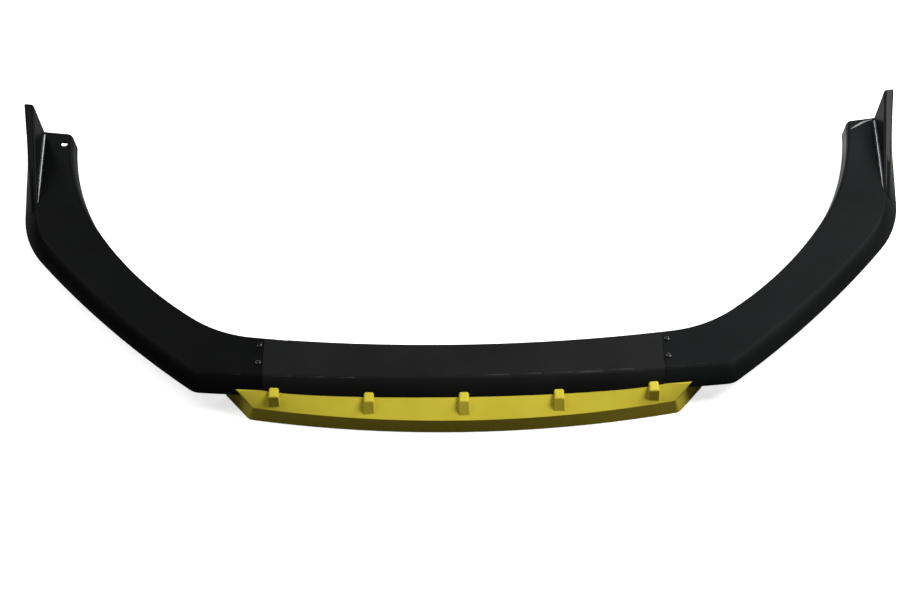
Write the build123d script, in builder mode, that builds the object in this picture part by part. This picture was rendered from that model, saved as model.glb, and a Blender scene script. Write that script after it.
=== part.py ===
from build123d import *
from math import cos, radians, sin, tan
import os

# Front splitter lip for a car bumper: a black centre lip, two black side lips with upswept
# winglets at their ends, and a yellow lower splitter with five buttresses.
# Millimetres, X across the car, Y rearward, Z up. The origin is the middle of the seat.

# Mouldings and fits
WALL = 3.0
FIT_GAP = 0.3
SEAM_GAP = 0.8
CUT_OVERRUN = 1.0

# Section of the lip: a seat on top, a nose that falls outward and a wall around the bumper bay
LIP_HEIGHT = 32.0
NOSE_RUN = 26.0
BAY_DRAFT = 5.0
EDGE_RADIUS = 8.0
SEAT_DEPTH = 73.0

# Front crease of the seat, from the middle to the winglet, as arcs that turn to the rear
FRONT_RADIUS = 5650.0
FRONT_TURN = 4.86
CORNER_RADIUS = 12.0
CORNER_TURN = 33.14
DIAGONAL_RADIUS = 2020.0
DIAGONAL_TURN = 12.0
HIP_RADIUS = 184.0
HIP_TURN = 34.0
ARM_LENGTH = 205.0

# Bay edge of the seat, from the middle to the rear end
BOW_RADIUS = 3167.0
BOW_TURN = 7.0
KNEE_RADIUS = 247.0
KNEE_TURN = 29.0
SWEEP_RADIUS = 787.0
SWEEP_TURN = 20.0
TAIL_RADIUS = 532.0
TAIL_TURN = 40.0
END_ANGLE = 8.0
END_CORNER = 14.0

# Winglet at the end of each arm
WINGLET_HEIGHT = 68.0
WINGLET_SWEEP = 10.0
WINGLET_FOOT = 46.0
WINGLET_CREST_IN = 31.0
WINGLET_CREST_OUT = 12.0
WINGLET_TIP_SINK = 2.0
WINGLET_TIP_INSET = 4.0
WINGLET_TIP_SHARE = 0.4
WINGLET_START = 0.8
CREST_RADIUS = 5.0

# Lap joints between the centre lip and the side lips
SEAM_X = 366.0
TONGUE = 26.0
JOGGLE = 8.0
JOINT_INSET = 8.0
JOINT_YS = (39.0, 1.0)
JOINT_BOLT = 5.0
JOINT_HOLE = 5.5
JOINT_HEAD = 9.5
JOINT_HEAD_HEIGHT = 2.6
JOINT_WASHER = 11.0
JOINT_WASHER_THICK = 1.0
JOINT_NUT_FLATS = 8.0
JOINT_NUT_HEIGHT = 4.0
JOINT_BOLT_END = 1.5
JOINT_SOCKET = 3.0
JOINT_SOCKET_DEPTH = 1.6

# Lower splitter: a deck inside the lip, an apron that falls forward from it and a rim
DECK_DEPTH = 24.0
DECK_LEAD = 6.0
DECK_BOW = 1.5
DECK_BACK_Y = 19.0
RIM_DEPTH = 46.0
RIM_LEAD = 65.5
RIM_BOW = 35.0
RIM_HEIGHT = 30.0
RIM_LEAN = 6.0
RIM_CORNER = 6.0
SPLITTER_FRONT_X = 385.0
SPLITTER_BACK_X = 440.0
SPLITTER_BACK_Y = -19.0
END_FLARE = 14.0
FOOT_CORNER = 16.0

# Buttresses between the apron and the nose
BUTTRESS_COUNT = 5
BUTTRESS_PITCH = 172.5
BUTTRESS_WIDTH = 18.5
BUTTRESS_RISE = 8.0
BUTTRESS_TOP = 20.0
BUTTRESS_REACH = 0.83
BUTTRESS_RADIUS = 4.0

# Screws that hold the lower splitter to bosses inside the lip
SCREW_XS = (86.25, 258.75, 404.0)
SCREW_Y = 1.0
BOSS = 11.0
SCREW = 4.2
SCREW_BORE = 4.4
SCREW_HOLE = 4.8
SCREW_LENGTH = 16.0
SCREW_HEAD = 9.0
SCREW_HEAD_HEIGHT = 3.2

# Hole at the left rear end for a fixing into the bumper
END_HOLE = 13.0
END_HOLE_IN = 15.5
END_HOLE_AHEAD = 31.0

# Horizontal thickness of a sloping wall, for each millimetre measured square to it
NOSE_SKEW = (NOSE_RUN**2 + LIP_HEIGHT**2) ** 0.5 / LIP_HEIGHT
BAY_SKEW = (BAY_DRAFT**2 + LIP_HEIGHT**2) ** 0.5 / LIP_HEIGHT


def end_square():
    """Direction that looks squarely out of the right rear end."""
    return Vector(-sin(radians(END_ANGLE)), cos(radians(END_ANGLE)))


def end_across():
    """Direction along the right rear end, outward."""
    return Vector(cos(radians(END_ANGLE)), sin(radians(END_ANGLE)))


def outer_edges(out):
    """Front and outer edge from the middle to the end of the hip, moved out from the crease."""
    front = JernArc((0, -SEAT_DEPTH / 2 - out), (1, 0), FRONT_RADIUS + out, FRONT_TURN)
    corner = JernArc(front @ 1, front % 1, CORNER_RADIUS + out, CORNER_TURN)
    diagonal = JernArc(corner @ 1, corner % 1, DIAGONAL_RADIUS + out, DIAGONAL_TURN)
    hip = JernArc(diagonal @ 1, diagonal % 1, HIP_RADIUS + out, HIP_TURN)
    return front, corner, diagonal, hip


def bay_edges(out):
    """Edge around the bumper bay from the middle to the arm, moved into the bay."""
    bow = JernArc((0, SEAT_DEPTH / 2 + out), (1, 0), BOW_RADIUS - out, BOW_TURN)
    knee = JernArc(bow @ 1, bow % 1, KNEE_RADIUS - out, KNEE_TURN)
    sweep_edge = JernArc(knee @ 1, knee % 1, SWEEP_RADIUS - out, SWEEP_TURN)
    tail = JernArc(sweep_edge @ 1, sweep_edge % 1, TAIL_RADIUS - out, TAIL_TURN)
    return bow, knee, sweep_edge, tail


def arm_end(hip, bay_out):
    """Outer corner of the right rear end, on the hip's tangent."""
    return hip @ 1 + (hip % 1) * (ARM_LENGTH + bay_out)


def lip_outline(nose_out, bay_out):
    """Face of the whole lip in plan, with its walls moved out from the crease and the bay edge."""
    with BuildLine() as edges:
        front, *_, hip = outer_edges(nose_out)
        bow, *_, tail = bay_edges(bay_out)
        outer = arm_end(hip, bay_out)
        Polyline(hip @ 1, outer + (hip % 1) * ARM_LENGTH, tail @ 1 + (tail % 1) * ARM_LENGTH, tail @ 1)
        Line(bow @ 0, front @ 0)
    make_face(edges.edges())
    split(bisect_by=Plane(outer, z_dir=end_square()), keep=Keep.BOTTOM)
    fillet(vertices().sort_by(Axis.Y)[-2], END_CORNER + bay_out)
    mirror(about=Plane.YZ)


def lip_form(inset):
    """Solid form of the whole lip, drawn in from its outside by the inset."""
    bottom = -LIP_HEIGHT - (CUT_OVERRUN if inset > 0 else 0)
    with BuildPart() as form:
        for level in (-inset, bottom):
            fall = -level / LIP_HEIGHT
            with BuildSketch(Plane.XY.offset(level)):
                lip_outline(NOSE_RUN * fall - NOSE_SKEW * inset, BAY_DRAFT * fall - BAY_SKEW * inset)
        loft(ruled=True)
        fillet(form.faces().sort_by(Axis.Z)[-1].edges(), max(EDGE_RADIUS - inset, FIT_GAP))
    return form.part


def winglet_section(foot_in, crest_in, crest_out, foot_out, crest_radius):
    """Face of the winglet's section, with rounded crests."""
    with BuildLine() as edges:
        ridge = FilletPolyline(foot_in, crest_in, crest_out, foot_out, radius=crest_radius)
        Line(ridge @ 1, ridge @ 0)
    make_face(edges.edges())


def winglet_form(inset):
    """Solid form of the right winglet, from the nose's own section to the upright rear end."""
    hip = outer_edges(NOSE_RUN)[-1]
    outer = arm_end(hip, 0)
    heading = hip % 1
    start = hip % WINGLET_START
    sweep_back = WINGLET_HEIGHT * tan(radians(WINGLET_SWEEP))
    crest_radius = max(CREST_RADIUS - inset, FIT_GAP)
    low = -LIP_HEIGHT - (CUT_OVERRUN if inset > 0 else 0)
    tip = Plane(hip @ WINGLET_START + start * inset, x_dir=Vector(start.Y, -start.X), z_dir=-start)
    beyond = heading * (sweep_back / heading.dot(end_square()))
    end = Plane(outer + beyond, x_dir=end_across(), z_dir=-end_square())
    side = Plane(outer - end_square() * inset, x_dir=end_square(), z_dir=end_across())
    tip_in = -NOSE_RUN - WINGLET_TIP_INSET + inset
    tip_out = -NOSE_RUN * (1 - WINGLET_TIP_SHARE) - WINGLET_TIP_SINK - NOSE_SKEW * inset
    with BuildPart() as form:
        with BuildSketch(tip):
            winglet_section(
                (tip_in, low),
                (tip_in, -WINGLET_TIP_SINK - inset),
                (tip_out, -LIP_HEIGHT * WINGLET_TIP_SHARE - inset),
                (-NOSE_SKEW * inset, low),
                crest_radius,
            )
        with BuildSketch(end):
            winglet_section(
                (-WINGLET_FOOT + inset, low),
                (-WINGLET_CREST_IN + inset, WINGLET_HEIGHT - inset),
                (-WINGLET_CREST_OUT - inset, WINGLET_HEIGHT - inset),
                (-inset, low),
                crest_radius,
            )
        loft(ruled=True)
        with BuildSketch(side):
            Polygon(
                (0, 0),
                (sweep_back, WINGLET_HEIGHT),
                (2 * sweep_back + BAY_DRAFT, WINGLET_HEIGHT),
                (2 * sweep_back + BAY_DRAFT, low),
                (-low * BAY_DRAFT / LIP_HEIGHT, low),
                align=None,
            )
        extrude(amount=2 * WINGLET_FOOT, both=True, mode=Mode.SUBTRACT)
    return form.part


def between(form, half_width):
    """The middle of a form, up to the half width each side."""
    with BuildPart() as middle:
        add(form)
        split(bisect_by=Plane.YZ.offset(half_width), keep=Keep.BOTTOM)
        split(bisect_by=Plane.YZ.offset(-half_width), keep=Keep.TOP)
    return middle.part


# Levels and front lines of the lower splitter
NOSE_FOOT_Y = -SEAT_DEPTH / 2 - NOSE_RUN
DECK_Z = -DECK_DEPTH
DECK_FRONT_Y = -SEAT_DEPTH / 2 - DECK_LEAD
RIM_TOP_Z = -RIM_DEPTH
RIM_TOP_Y = -SEAT_DEPTH / 2 - RIM_LEAD
RIM_FOOT_Z = RIM_TOP_Z - RIM_HEIGHT
RIM_CORNER_Y = RIM_TOP_Y + RIM_BOW


def splitter_end(y, flare):
    """Half width of the lower splitter at a place along its slanting end."""
    share = (SPLITTER_BACK_Y - y) / (SPLITTER_BACK_Y - RIM_CORNER_Y)
    return SPLITTER_BACK_X + (SPLITTER_FRONT_X + flare - SPLITTER_BACK_X) * share


def splitter_outline(front_y, corner_y, flare, inset, back_y):
    """Face of the lower splitter in plan, with a bowed front and slanting ends."""
    corner_x = splitter_end(corner_y - inset, flare) - inset
    side_x = SPLITTER_BACK_X - inset
    with BuildLine() as edges:
        ThreePointArc((-corner_x, corner_y), (0, front_y), (corner_x, corner_y))
        Polyline(
            (corner_x, corner_y),
            (side_x, SPLITTER_BACK_Y),
            (side_x, back_y),
            (-side_x, back_y),
            (-side_x, SPLITTER_BACK_Y),
            (-corner_x, corner_y),
        )
    make_face(edges.edges())


def splitter_form(inset, overrun):
    """Solid form of the lower splitter under its deck, apron and rim, drawn in by the inset."""
    deck_y = DECK_FRONT_Y + inset / 2
    rim_y = RIM_TOP_Y + inset
    sections = (
        (DECK_Z - inset, deck_y, deck_y - DECK_BOW, 0, RIM_CORNER),
        (RIM_TOP_Z - inset / 2, rim_y, rim_y + RIM_BOW, 0, RIM_CORNER),
        (RIM_FOOT_Z - overrun, rim_y - RIM_LEAN, rim_y - RIM_LEAN + RIM_BOW, END_FLARE, FOOT_CORNER),
    )
    with BuildPart() as form:
        for level, front_y, corner_y, flare, corner in sections:
            with BuildSketch(Plane.XY.offset(level)) as section:
                splitter_outline(front_y, corner_y, flare, inset, DECK_BACK_Y + overrun)
                fillet(section.vertices().group_by(Axis.Y)[0], max(corner - inset, FIT_GAP))
        loft(ruled=True)
    return form.part


def rim_point(x):
    """Place on the rim's top edge, as Y and Z."""
    return Vector(RIM_TOP_Y + RIM_BOW * (x / SPLITTER_FRONT_X) ** 2, RIM_TOP_Z)


def meeting_point(x):
    """Place where the apron meets the nose, as Y and Z."""
    nose_slope = NOSE_RUN / LIP_HEIGHT
    foot_y = NOSE_FOOT_Y + x**2 / (2 * (FRONT_RADIUS + NOSE_RUN))
    rim = rim_point(x)
    deck_y = DECK_FRONT_Y - DECK_BOW * (x / SPLITTER_FRONT_X) ** 2
    apron_slope = (deck_y - rim.X) / (DECK_Z - RIM_TOP_Z)
    z = (foot_y + nose_slope * LIP_HEIGHT - rim.X + apron_slope * RIM_TOP_Z) / (apron_slope - nose_slope)
    z = max(z, -LIP_HEIGHT)
    return Vector(foot_y + nose_slope * (z + LIP_HEIGHT), z)


def buttress(x):
    """Block that stands on the apron and leans back to the nose."""
    meeting = meeting_point(x)
    base = meeting + (rim_point(x) - meeting) * BUTTRESS_REACH
    top_z = meeting.Y + BUTTRESS_RISE
    nose_y = meeting.X + BUTTRESS_RISE * NOSE_RUN / LIP_HEIGHT
    sink = WALL / 2
    with BuildPart() as block:
        with BuildSketch(Plane.YZ.offset(x - BUTTRESS_WIDTH / 2)):
            Polygon(
                (nose_y + BUTTRESS_TOP / 2, top_z),
                (nose_y - BUTTRESS_TOP, top_z),
                (base.X, base.Y - sink),
                (meeting.X, meeting.Y - sink),
                (nose_y + BUTTRESS_TOP / 2, meeting.Y - sink),
                align=None,
            )
        extrude(amount=BUTTRESS_WIDTH)
        fillet(block.faces().sort_by(Axis.Z)[-1].edges(), BUTTRESS_RADIUS)
        add(lip_clearance, mode=Mode.SUBTRACT)
    return block.part


lip = lip_form(0)
lip_cavity = lip_form(WALL)
lip_clearance = lip_form(-FIT_GAP)
splitter_clearance = splitter_form(-FIT_GAP, CUT_OVERRUN)
tongue_form = lip_form(WALL + FIT_GAP)
tongue_cavity = lip_form(2 * WALL + FIT_GAP)
winglet = winglet_form(0)
winglet_cavity = winglet_form(WALL)

joint_x = SEAM_X + JOINT_INSET
joint_points = [(side * joint_x, y) for side in (-1, 1) for y in JOINT_YS]
centre_bosses = [(side * x, SCREW_Y, DECK_Z) for side in (-1, 1) for x in SCREW_XS[:-1]]
side_boss = (SCREW_XS[-1], SCREW_Y, DECK_Z)
screw_points = [(side * x, SCREW_Y) for side in (-1, 1) for x in SCREW_XS]
tail_centre = bay_edges(0)[-1].arc_center
hole_rear = (arm_end(outer_edges(0)[-1], 0) - tail_centre).dot(end_square()) - END_HOLE_AHEAD
hole_aside = ((TAIL_RADIUS + END_HOLE_IN) ** 2 - hole_rear**2) ** 0.5
end_right = tail_centre + end_square() * hole_rear + end_across() * hole_aside
end_hole = (-end_right.X, end_right.Y)
upward = (Align.CENTER, Align.CENTER, Align.MIN)
downward = (Align.CENTER, Align.CENTER, Align.MAX)

with BuildPart() as centre_lip:
    add(between(tongue_form, SEAM_X + TONGUE))
    split(bisect_by=Plane.XY.offset(-LIP_HEIGHT))
    add(between(lip, SEAM_X - SEAM_GAP / 2))
    add(tongue_cavity, mode=Mode.SUBTRACT)
    add(between(lip_cavity, SEAM_X - JOGGLE), mode=Mode.SUBTRACT)
    add(splitter_clearance, mode=Mode.SUBTRACT)
    with Locations(*centre_bosses):
        Cylinder(BOSS / 2, DECK_DEPTH - WALL / 2, align=upward)
        Cylinder(SCREW_BORE / 2, SCREW_LENGTH, align=upward, mode=Mode.SUBTRACT)
    with Locations(*joint_points):
        Hole(JOINT_HOLE / 2, depth=3 * WALL)

with BuildPart() as right_side_lip:
    add(lip)
    add(winglet)
    split(bisect_by=Plane.YZ.offset(SEAM_X + SEAM_GAP / 2))
    add(lip_cavity, mode=Mode.SUBTRACT)
    add(winglet_cavity, mode=Mode.SUBTRACT)
    add(splitter_clearance, mode=Mode.SUBTRACT)
    with Locations(side_boss):
        Cylinder(BOSS / 2, DECK_DEPTH - WALL / 2, align=upward)
        Cylinder(SCREW_BORE / 2, SCREW_LENGTH, align=upward, mode=Mode.SUBTRACT)
    with Locations(*joint_points):
        Hole(JOINT_HOLE / 2, depth=3 * WALL)

with BuildPart() as left_side_lip:
    add(mirror(right_side_lip.part, about=Plane.YZ, mode=Mode.PRIVATE))
    with Locations(end_hole):
        Hole(END_HOLE / 2, depth=3 * WALL)

with BuildPart() as lower_splitter:
    add(splitter_form(0, 0))
    add(splitter_form(WALL, CUT_OVERRUN), mode=Mode.SUBTRACT)
    with BuildSketch(Plane.YZ):
        Polygon(
            (SPLITTER_BACK_Y, RIM_FOOT_Z - CUT_OVERRUN),
            (DECK_BACK_Y + CUT_OVERRUN, RIM_FOOT_Z - CUT_OVERRUN),
            (DECK_BACK_Y + CUT_OVERRUN, DECK_Z - WALL),
            align=None,
        )
    extrude(amount=SPLITTER_BACK_X + CUT_OVERRUN, both=True, mode=Mode.SUBTRACT)
    for step in range(BUTTRESS_COUNT):
        add(buttress((step - (BUTTRESS_COUNT - 1) / 2) * BUTTRESS_PITCH))
    with Locations(*[(x, y, DECK_Z) for x, y in screw_points]):
        Hole(SCREW_HOLE / 2, depth=2 * WALL)

with BuildPart() as joint_bolts:
    with Locations(*joint_points):
        Cylinder(JOINT_HEAD / 2, JOINT_HEAD_HEIGHT, align=upward)
    fillet(joint_bolts.faces().filter_by(Axis.Z).group_by(Axis.Z)[-1].edges(), JOINT_HEAD_HEIGHT / 2)
    with Locations(*[(x, y, JOINT_HEAD_HEIGHT) for x, y in joint_points]):
        with BuildSketch():
            RegularPolygon(JOINT_SOCKET / 2, 6, major_radius=False)
        extrude(amount=-JOINT_SOCKET_DEPTH, mode=Mode.SUBTRACT)
    stack = 2 * WALL + FIT_GAP + JOINT_WASHER_THICK + JOINT_NUT_HEIGHT + JOINT_BOLT_END
    with Locations(*joint_points):
        Cylinder(JOINT_BOLT / 2, stack, align=downward)

tongue_under = -2 * WALL - FIT_GAP
with BuildPart() as joint_washers:
    with Locations(*[(x, y, tongue_under) for x, y in joint_points]):
        Cylinder(JOINT_WASHER / 2, JOINT_WASHER_THICK, align=downward)
        Cylinder(JOINT_HOLE / 2, JOINT_WASHER_THICK, align=downward, mode=Mode.SUBTRACT)

with BuildPart() as joint_nuts:
    with BuildSketch(Plane.XY.offset(tongue_under - JOINT_WASHER_THICK)):
        with Locations(*joint_points):
            RegularPolygon(JOINT_NUT_FLATS / 2, 6, major_radius=False)
            Circle(JOINT_BOLT / 2 + FIT_GAP / 2, mode=Mode.SUBTRACT)
    extrude(amount=-JOINT_NUT_HEIGHT)

with BuildPart() as splitter_screws:
    with Locations(*[(x, y, DECK_Z - WALL) for x, y in screw_points]):
        Cylinder(SCREW_HEAD / 2, SCREW_HEAD_HEIGHT, align=downward)
    fillet(splitter_screws.faces().filter_by(Axis.Z).group_by(Axis.Z)[0].edges(), SCREW_HEAD_HEIGHT / 2)
    with Locations(*[(x, y, DECK_Z - WALL) for x, y in screw_points]):
        Cylinder(SCREW / 2, SCREW_LENGTH, align=upward)

pieces = {
    "centre_lip": centre_lip,
    "left_side_lip": left_side_lip,
    "right_side_lip": right_side_lip,
    "lower_splitter": lower_splitter,
    "joint_bolts": joint_bolts,
    "joint_washers": joint_washers,
    "joint_nuts": joint_nuts,
    "splitter_screws": splitter_screws,
}
os.makedirs("parts", exist_ok=True)
for name, piece in pieces.items():
    piece.part.label = name
    export_step(piece.part, f"parts/{name}.step")
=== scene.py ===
import math

import bmesh
import bpy
from mathutils import Matrix, Vector


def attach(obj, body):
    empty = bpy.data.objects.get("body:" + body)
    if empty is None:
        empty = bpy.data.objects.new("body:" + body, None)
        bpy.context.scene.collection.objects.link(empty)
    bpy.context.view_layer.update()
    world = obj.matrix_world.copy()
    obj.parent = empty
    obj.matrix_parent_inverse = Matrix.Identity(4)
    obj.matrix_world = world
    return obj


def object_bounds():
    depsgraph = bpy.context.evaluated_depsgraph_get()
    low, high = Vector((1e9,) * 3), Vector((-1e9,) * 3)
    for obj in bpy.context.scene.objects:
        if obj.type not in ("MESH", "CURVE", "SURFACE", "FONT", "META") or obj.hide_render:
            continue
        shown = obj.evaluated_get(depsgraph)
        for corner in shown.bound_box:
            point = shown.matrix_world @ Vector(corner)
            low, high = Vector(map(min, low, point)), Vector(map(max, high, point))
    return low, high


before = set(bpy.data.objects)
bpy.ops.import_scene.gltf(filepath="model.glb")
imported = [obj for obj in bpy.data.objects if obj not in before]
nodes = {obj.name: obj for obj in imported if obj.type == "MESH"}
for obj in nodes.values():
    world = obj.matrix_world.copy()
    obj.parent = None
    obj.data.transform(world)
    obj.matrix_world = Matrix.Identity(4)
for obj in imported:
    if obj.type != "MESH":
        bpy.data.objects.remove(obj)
first_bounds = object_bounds()
scene = bpy.context.scene


# Node helpers
def empty_tree(owner, output):
    """The owner's node tree with its output alone, and the socket that takes the surface."""
    owner.use_nodes = True
    tree = owner.node_tree
    tree.nodes.clear()
    return tree, tree.nodes.new(output).inputs["Surface"]


def principled(name):
    """A material of one Principled shader, with its tree and that shader."""
    material = bpy.data.materials.new(name)
    tree, surface = empty_tree(material, "ShaderNodeOutputMaterial")
    shader = tree.nodes.new("ShaderNodeBsdfPrincipled")
    tree.links.new(shader.outputs["BSDF"], surface)
    return material, tree, shader


def object_place(tree):
    """The place on the object, which is the place in the frame in metres."""
    return tree.nodes.new("ShaderNodeTexCoord").outputs["Object"]


def along(tree, vector, axis):
    node = tree.nodes.new("ShaderNodeSeparateXYZ")
    tree.links.new(vector, node.inputs["Vector"])
    return node.outputs[axis]


def noise(tree, place, scale, detail):
    node = tree.nodes.new("ShaderNodeTexNoise")
    node.inputs["Scale"].default_value = scale
    node.inputs["Detail"].default_value = detail
    tree.links.new(place, node.inputs["Vector"])
    return node.outputs["Fac"]


def ramp(tree, value, stops, dark, light):
    node = tree.nodes.new("ShaderNodeValToRGB")
    for element, stop, colour in zip(node.color_ramp.elements, stops, (dark, light)):
        element.position = stop
        element.color = (*colour, 1)
    tree.links.new(value, node.inputs["Fac"])
    return node.outputs["Color"]


def span(tree, value, low, high, start=0.0, end=1.0):
    """Runs from low to high while the value runs from start to end, and stays there beyond."""
    node = tree.nodes.new("ShaderNodeMapRange")
    node.inputs["From Min"].default_value = start
    node.inputs["From Max"].default_value = end
    node.inputs["To Min"].default_value = low
    node.inputs["To Max"].default_value = high
    tree.links.new(value, node.inputs["Value"])
    return node.outputs["Result"]


def combined(tree, operation, first, second):
    node = tree.nodes.new("ShaderNodeMath")
    node.operation = operation
    tree.links.new(first, node.inputs[0])
    tree.links.new(second, node.inputs[1])
    return node.outputs["Value"]


def bumped(tree, normal, height, distance, strength=1.0, invert=False):
    node = tree.nodes.new("ShaderNodeBump")
    node.invert = invert
    node.inputs["Distance"].default_value = distance
    node.inputs["Strength"].default_value = strength
    tree.links.new(height, node.inputs["Height"])
    tree.links.new(normal, node.inputs["Normal"])
    return node.outputs["Normal"]


def mixed(tree, factor, first, second):
    node = tree.nodes.new("ShaderNodeMixShader")
    tree.links.new(factor, node.inputs["Fac"])
    tree.links.new(first, node.inputs[1])
    tree.links.new(second, node.inputs[2])
    return node.outputs["Shader"]


# Cloudy colour, smeared gloss, softened edges and fine grain of the moulded plastics
CLOUD_SCALE = 9.0
CLOUD_DETAIL = 4.0
CLOUD_STOPS = (0.35, 0.7)
SMEAR_SCALE = 34.0
SMEAR_DETAIL = 5.0
EDGE_SAMPLES = 6
GRAIN_SCALE = 900.0
GRAIN_DETAIL = 2.0
GRAIN_HEIGHT = 0.0004


def plastic(name, dark, light, rough, sheen):
    """A plastic with cloudy colour and smeared gloss, with its tree and shader."""
    material, tree, shader = principled(name)
    place = object_place(tree)
    clouds = noise(tree, place, CLOUD_SCALE, CLOUD_DETAIL)
    tree.links.new(ramp(tree, clouds, CLOUD_STOPS, dark, light), shader.inputs["Base Color"])
    smears = noise(tree, place, SMEAR_SCALE, SMEAR_DETAIL)
    tree.links.new(span(tree, smears, *rough), shader.inputs["Roughness"])
    shader.inputs["Specular IOR Level"].default_value = sheen
    return material, tree, shader


def soft_edges(tree, radius):
    """The normal of a face, rounded near its edges."""
    node = tree.nodes.new("ShaderNodeBevel")
    node.samples = EDGE_SAMPLES
    node.inputs["Radius"].default_value = radius
    return node.outputs["Normal"]


def grained(tree, normal, strength):
    pores = noise(tree, object_place(tree), GRAIN_SCALE, GRAIN_DETAIL)
    return bumped(tree, normal, pores, GRAIN_HEIGHT, strength)


# Soft rounding of the nose below the seat, which fades out before the winglets
NOSE_DROP = 0.032
NOSE_FLAT_SHARE = 0.3
NOSE_CROWN = 0.018
NOSE_FADE_FROM = 0.26
NOSE_FADE_TO = 0.38


def soft_nose(tree, normal):
    """The normal, turned as if the nose fell back above and below its flat part."""
    place = object_place(tree)
    low = -NOSE_FLAT_SHARE
    off_flat = span(tree, along(tree, place, "Z"), low, low + 1.0, -NOSE_DROP, 0.0)
    fade = span(tree, along(tree, place, "Y"), 1.0, 0.0, NOSE_FADE_FROM, NOSE_FADE_TO)
    square = combined(tree, "MULTIPLY", off_flat, off_flat)
    fall = combined(tree, "MULTIPLY", square, fade)
    return bumped(tree, normal, fall, NOSE_CROWN, invert=True)


# Polish of the winglets above the seat, and of the right wall of the bay below it
POLISH_FROM = 0.001
POLISH_FULL = 0.006
POLISH_ROUGHNESS = 0.08
WALL_TURN_FROM = -0.35
WALL_TURN_FULL = -0.75


def polish(tree, winglet_coat, wall_coat):
    """Coat above the seat, and below it on the faces that look in across the bay from the right."""
    height = along(tree, object_place(tree), "Z")
    above = span(tree, height, 0.0, winglet_coat, POLISH_FROM, POLISH_FULL)
    below = span(tree, height, 1.0, 0.0, -POLISH_FROM, POLISH_FROM)
    facing = along(tree, tree.nodes.new("ShaderNodeNewGeometry").outputs["Normal"], "X")
    inward = span(tree, facing, 0.0, wall_coat, WALL_TURN_FROM, WALL_TURN_FULL)
    wall = combined(tree, "MULTIPLY", inward, below)
    return combined(tree, "ADD", above, wall)


# Black of the lips. The three lips share one black, painted lighter or darker by how the light fell on
# each: the left darker as painted shade, the centre lighter as painted light, the right lighter and
# bluer as painted sheen.
LIP_EDGE = 0.0006
LIP_GRAIN = 0.02


def lip_black(name, dark, light, rough, sheen, winglet_coat=0.0, wall_coat=0.0):
    """A lip's black, with the soft nose and, on a side lip, polish on its winglet and wall."""
    material, tree, shader = plastic(name, dark, light, rough, sheen)
    normal = soft_nose(tree, soft_edges(tree, LIP_EDGE))
    tree.links.new(grained(tree, normal, LIP_GRAIN), shader.inputs["Normal"])
    if winglet_coat:
        shader.inputs["Coat Weight"].default_value = winglet_coat
        tree.links.new(polish(tree, winglet_coat, wall_coat), shader.inputs["Coat Weight"])
        shader.inputs["Coat Roughness"].default_value = POLISH_ROUGHNESS
    return material


# Left lip: the shared black darkened as painted shade
black_left = lip_black(
    "satin_black_left_painted_shade",
    dark=(0.0028, 0.003, 0.003),
    light=(0.004, 0.0042, 0.0043),
    rough=(0.38, 0.48),
    sheen=0.035,
    winglet_coat=0.02,
)
# Centre lip: the shared black lightened as painted light
black_centre = lip_black(
    "satin_black_centre_painted_light",
    dark=(0.0072, 0.0074, 0.0073),
    light=(0.0098, 0.0101, 0.01),
    rough=(0.4, 0.5),
    sheen=0.08,
)
# Right lip: the shared black lightened and tinted blue as painted sheen
black_right = lip_black(
    "satin_black_right_painted_sheen",
    dark=(0.0071, 0.0077, 0.008),
    light=(0.0092, 0.01, 0.0105),
    rough=(0.38, 0.48),
    sheen=0.025,
    winglet_coat=0.11,
    wall_coat=0.5,
)

# Polished black of the strips that catch the light
STRIP_EDGE = 0.0004
STRIP_COAT = 1.0
STRIP_COAT_ROUGHNESS = 0.25

black_polished, tree, shader = plastic(
    "polished_black",
    dark=(0.003, 0.0031, 0.0034),
    light=(0.005, 0.0053, 0.0058),
    rough=(0.12, 0.2),
    sheen=0.5,
)
tree.links.new(soft_edges(tree, STRIP_EDGE), shader.inputs["Normal"])
shader.inputs["Coat Weight"].default_value = STRIP_COAT
shader.inputs["Coat Roughness"].default_value = STRIP_COAT_ROUGHNESS

# Yellow of the splitter
SPLITTER_EDGE = 0.0012
SPLITTER_GRAIN = 0.03

yellow, tree, shader = plastic(
    "gloss_yellow",
    dark=(0.6, 0.5, 0.035),
    light=(0.68, 0.58, 0.055),
    rough=(0.36, 0.5),
    sheen=0.15,
)
normal = grained(tree, soft_edges(tree, SPLITTER_EDGE), SPLITTER_GRAIN)
tree.links.new(normal, shader.inputs["Normal"])

# Blackened steel of the fasteners, with fine turning marks
STEEL_DARK = (0.08, 0.08, 0.085)
STEEL_LIGHT = (0.17, 0.17, 0.175)
STEEL_ROUGHNESS = (0.16, 0.28)
MARK_SCALE = 420.0
MARK_DETAIL = 3.0
MARK_STOPS = (0.3, 0.75)

fastener, tree, shader = principled("black_steel")
marks = noise(tree, object_place(tree), MARK_SCALE, MARK_DETAIL)
tree.links.new(ramp(tree, marks, MARK_STOPS, STEEL_DARK, STEEL_LIGHT), shader.inputs["Base Color"])
tree.links.new(span(tree, marks, *STEEL_ROUGHNESS), shader.inputs["Roughness"])
shader.inputs["Metallic"].default_value = 1.0

# Slot and material of each CAD node
dress = {
    "centre_lip": ("lip_black", black_centre),
    "left_side_lip": ("lip_black", black_left),
    "right_side_lip": ("lip_black", black_right),
    "lower_splitter": ("splitter_yellow", yellow),
    "joint_bolts": ("fastener_steel", fastener),
    "joint_washers": ("fastener_steel", fastener),
    "joint_nuts": ("fastener_steel", fastener),
    "splitter_screws": ("fastener_steel", fastener),
}
for name, (slot, material) in dress.items():
    nodes[name].data.materials.clear()
    nodes[name].data.materials.append(material)

# Polished strips, which are sunk a little into the lip under them
STRIP_SINK = 0.0008
STRIP_SHARP_ANGLE = math.radians(35.0)


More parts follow.
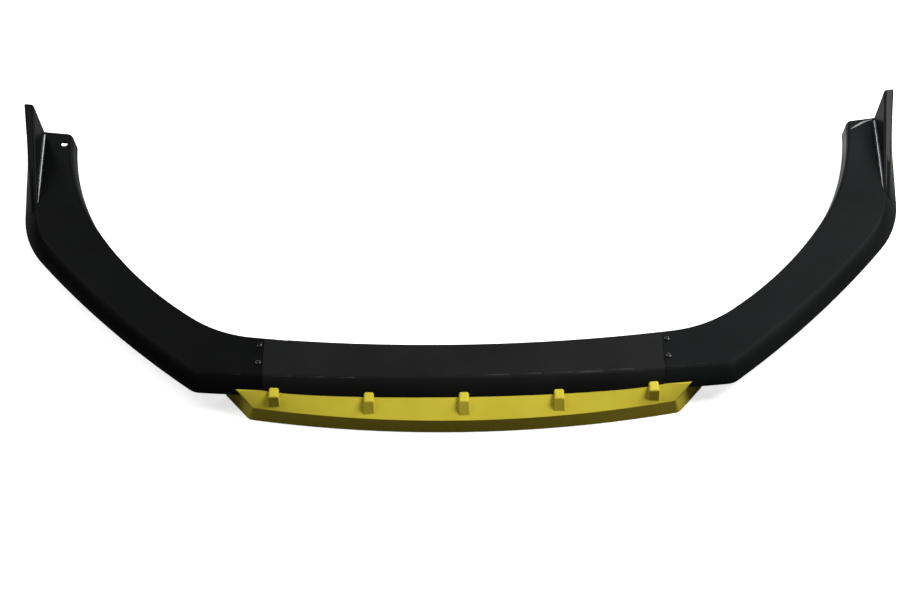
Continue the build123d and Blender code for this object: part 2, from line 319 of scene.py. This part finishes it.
def polished_strip(name, sections):
    """A closed strip of polished black through sections with as many points each."""
    around = len(sections[0])
    last = len(sections) - 1
    vertices = [point for section in sections for point in section]
    faces = []
    for station in range(last):
        for step in range(around):
            here = station * around + step
            beside = station * around + (step + 1) % around
            faces.append((here, beside, beside + around, here + around))
    faces.append(tuple(range(around)))
    faces.append(tuple(range(last * around, (last + 1) * around)))
    mesh = bpy.data.meshes.new(name)
    mesh.from_pydata(vertices, [], faces)
    solid = bmesh.new()
    solid.from_mesh(mesh)
    bmesh.ops.recalc_face_normals(solid, faces=solid.faces)
    solid.to_mesh(mesh)
    solid.free()
    mesh.shade_smooth()
    mesh.set_sharp_from_angle(angle=STRIP_SHARP_ANGLE)
    mesh.materials.append(black_polished)
    piece = bpy.data.objects.new(name, mesh)
    scene.collection.objects.link(piece)
    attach(piece, "root")


# Small cove where each winglet rises from the seat
COVE_RADIUS = 0.0037
COVE_REAR = 0.568
COVE_FRONT = 0.39
COVE_TIP_SHARE = 0.25
COVE_TAPER_SHARE = 0.25
COVE_STATIONS = 24
COVE_STEPS = 8
COVE_LOOK_FROM = 0.6


def wall_at(lip, side, y, z):
    """How far out the winglet's inner face lies at a height, met by a ray from over the seat."""
    to_lip = lip.matrix_world.inverted()
    start = to_lip @ Vector((COVE_LOOK_FROM * side, y, z))
    heading = to_lip.to_3x3() @ Vector((side, 0.0, 0.0))
    place = lip.ray_cast(start, heading)[1]
    return abs((lip.matrix_world @ place).x)


def root_cove(name, lip, side):
    """A strip of concave section along the foot of a winglet, thinner towards its front tip."""
    sections = []
    for station in range(COVE_STATIONS + 1):
        share = station / COVE_STATIONS
        y = COVE_FRONT + (COVE_REAR - COVE_FRONT) * share
        growth = min(1.0, share / COVE_TAPER_SHARE)
        radius = COVE_RADIUS * (COVE_TIP_SHARE + (1 - COVE_TIP_SHARE) * growth)
        middle = wall_at(lip, side, y, radius / 2)
        top = wall_at(lip, side, y, radius)
        foot = 2 * middle - top
        section = []
        for step in range(COVE_STEPS + 1):
            turn = math.pi / 2 * step / COVE_STEPS
            up = radius - radius * math.cos(turn)
            out = foot - radius + radius * math.sin(turn) + (top - foot) * up / radius
            section.append((side * out, y, up))
        section.append((side * (top + STRIP_SINK), y, radius))
        section.append((side * (foot + STRIP_SINK), y, -STRIP_SINK))
        section.append((side * (foot - radius), y, -STRIP_SINK))
        sections.append(section)
    polished_strip(name, sections)


# Low crescent on the seat at the rear end of the right arm, where the corner rolls
ROLL_START = Vector((0.7872, 0.547))
ROLL_BEND = Vector((0.8155, 0.5667))
ROLL_END = Vector((0.833, 0.5705))
ROLL_WIDTH = 0.005
ROLL_HEIGHT = 0.0012
ROLL_TIP_SHARE = 0.2
ROLL_STATIONS = 24
ROLL_STEPS = 10


def end_roll(name):
    """A strip of half-round section along a curve from start to end that leaves towards the bend."""
    sections = []
    for station in range(ROLL_STATIONS + 1):
        share = station / ROLL_STATIONS
        first = ROLL_START.lerp(ROLL_BEND, share)
        second = ROLL_BEND.lerp(ROLL_END, share)
        middle = first.lerp(second, share)
        heading = (second - first).normalized()
        across = Vector((-heading.y, heading.x))
        size = ROLL_TIP_SHARE + (1 - ROLL_TIP_SHARE) * math.sin(math.pi * share)
        reach = across * (size * ROLL_WIDTH / 2)
        section = []
        for step in range(ROLL_STEPS + 1):
            turn = math.pi * step / ROLL_STEPS
            place = middle + reach * math.cos(turn)
            section.append((place.x, place.y, size * ROLL_HEIGHT * math.sin(turn)))
        for place in (middle - reach, middle + reach):
            section.append((place.x, place.y, -STRIP_SINK))
        sections.append(section)
    polished_strip(name, sections)


# The lips have to be up to date before rays are cast at them
bpy.context.view_layer.update()
root_cove("left_root_cove", nodes["left_side_lip"], -1)
root_cove("right_root_cove", nodes["right_side_lip"], 1)
end_roll("right_end_roll")

# Paper floor just under the part: white to the camera, grey in mirrors, dark to light that bounces
FLOOR_GAP = 0.0005
FLOOR_REACH = 30.0
PAPER_SEEN = (0.9, 0.9, 0.9, 1)
PAPER_MIRRORED = (0.55, 0.55, 0.545, 1)
PAPER_BOUNCING = (0.05, 0.034, 0.018, 1)
PAPER_GLOW = 0.7


def diffuse(tree, colour):
    node = tree.nodes.new("ShaderNodeBsdfDiffuse")
    node.inputs["Color"].default_value = colour
    return node.outputs["BSDF"]


def floor_paper():
    """Paper that differs for each kind of ray, and is clear from below."""
    material = bpy.data.materials.new("floor_paper")
    tree, surface = empty_tree(material, "ShaderNodeOutputMaterial")
    rays = tree.nodes.new("ShaderNodeLightPath").outputs
    glow = tree.nodes.new("ShaderNodeEmission")
    glow.inputs["Strength"].default_value = PAPER_GLOW
    seen = tree.nodes.new("ShaderNodeAddShader")
    tree.links.new(diffuse(tree, PAPER_SEEN), seen.inputs[0])
    tree.links.new(glow.outputs["Emission"], seen.inputs[1])
    mirrored = diffuse(tree, PAPER_MIRRORED)
    unseen = mixed(tree, rays["Is Glossy Ray"], diffuse(tree, PAPER_BOUNCING), mirrored)
    above = mixed(tree, rays["Is Camera Ray"], unseen, seen.outputs["Shader"])
    clear = tree.nodes.new("ShaderNodeBsdfTransparent").outputs["BSDF"]
    from_below = tree.nodes.new("ShaderNodeNewGeometry").outputs["Backfacing"]
    tree.links.new(mixed(tree, from_below, above, clear), surface)
    return material


floor_z = first_bounds[0].z - FLOOR_GAP
corners = [(-1, -1), (1, -1), (1, 1), (-1, 1)]
mesh = bpy.data.meshes.new("floor")
mesh.from_pydata([(FLOOR_REACH * x, FLOOR_REACH * y, floor_z) for x, y in corners], [], [(0, 1, 2, 3)])
mesh.materials.append(floor_paper())
floor = bpy.data.objects.new("floor", mesh)
scene.collection.objects.link(floor)

# World: white where the camera sees it, a dim studio elsewhere
STUDIO_COLOUR = (0.9, 0.95, 1.0, 1)
STUDIO_STRENGTH = 0.05
BACKDROP_COLOUR = (1, 1, 1, 1)
BACKDROP_STRENGTH = 1.0


def background(tree, colour, strength):
    node = tree.nodes.new("ShaderNodeBackground")
    node.inputs["Color"].default_value = colour
    node.inputs["Strength"].default_value = strength
    return node.outputs["Background"]


world = bpy.data.worlds.new("studio")
scene.world = world
tree, surface = empty_tree(world, "ShaderNodeOutputWorld")
seen = tree.nodes.new("ShaderNodeLightPath").outputs["Is Camera Ray"]
studio = background(tree, STUDIO_COLOUR, STUDIO_STRENGTH)
backdrop = background(tree, BACKDROP_COLOUR, BACKDROP_STRENGTH)
tree.links.new(mixed(tree, seen, studio, backdrop), surface)

# Soft lights: two overhead, and three low behind for the lines of light at the winglets and the end
SEAT_MIDDLE = (0.0, 0.0, 0.0)
LEFT_ARM = (-0.5, 0.4, 0.0)
RIGHT_ARM = (0.8, 0.4, 0.0)
RIGHT_END = (0.82, 0.56, 0.0)
OVERHEAD_SIZE = (2.2, 2.2)
WARM_WHITE = (1.0, 0.99, 0.97)
COOL_WHITE = (0.9, 0.95, 1.0)
PALE_WHITE = (0.95, 0.98, 1.0)


def softbox(name, place, aim, size, power, colour):
    """A rectangular area light that faces its aim."""
    light = bpy.data.lights.new(name, "AREA")
    light.shape = "RECTANGLE"
    light.size, light.size_y = size
    light.energy = power
    light.color = colour
    holder = bpy.data.objects.new(name, light)
    scene.collection.objects.link(holder)
    holder.location = place
    holder.rotation_mode = "QUATERNION"
    holder.rotation_quaternion = (Vector(aim) - Vector(place)).to_track_quat("-Z", "Y")


softbox(
    "key_right",
    place=(2.5, 1.0, 3.0),
    aim=SEAT_MIDDLE,
    size=OVERHEAD_SIZE,
    power=190.0,
    colour=WARM_WHITE,
)
softbox(
    "fill_left",
    place=(-2.5, 1.0, 3.0),
    aim=SEAT_MIDDLE,
    size=OVERHEAD_SIZE,
    power=55.0,
    colour=WARM_WHITE,
)
softbox(
    "rear_right",
    place=(2.1, 3.35, 1.3),
    aim=LEFT_ARM,
    size=(0.9, 1.6),
    power=47.0,
    colour=COOL_WHITE,
)
softbox(
    "rear_end",
    place=(1.0, 3.2, 1.3),
    aim=RIGHT_END,
    size=(0.7, 1.1),
    power=24.0,
    colour=PALE_WHITE,
)
softbox(
    "rear_left",
    place=(-2.25, 3.35, 1.2),
    aim=RIGHT_ARM,
    size=(0.7, 1.4),
    power=46.0,
    colour=COOL_WHITE,
)

# Camera where the photograph was taken
ELEVATION = math.radians(53.5)
AZIMUTH = math.radians(0.03)
ROLL = math.radians(-1.0)
DISTANCE = 3.2
TARGET = Vector((0.0, 0.1322, 0.0))
SENSOR_WIDTH = 36.0
LENS = 67.05
SHIFT_X = -0.0025
SHIFT_Y = -0.0057
CLIP_END = 100.0

back = Vector(
    (
        math.sin(AZIMUTH) * math.cos(ELEVATION),
        -math.cos(AZIMUTH) * math.cos(ELEVATION),
        math.sin(ELEVATION),
    )
)
level_right = Vector((math.cos(AZIMUTH), math.sin(AZIMUTH), 0.0))
level_up = back.cross(level_right)
right = math.cos(ROLL) * level_right + math.sin(ROLL) * level_up
up = back.cross(right)
turn = Matrix((right, up, back)).transposed()
camera_data = bpy.data.cameras.new("photo_camera")
camera_data.sensor_width = SENSOR_WIDTH
camera_data.lens = LENS
camera_data.shift_x = SHIFT_X
camera_data.shift_y = SHIFT_Y
camera_data.clip_end = CLIP_END
camera = bpy.data.objects.new("photo_camera", camera_data)
scene.collection.objects.link(camera)
camera.matrix_world = Matrix.Translation(TARGET + back * DISTANCE) @ turn.to_4x4()
scene.camera = camera

scene.view_settings.view_transform = "Standard"
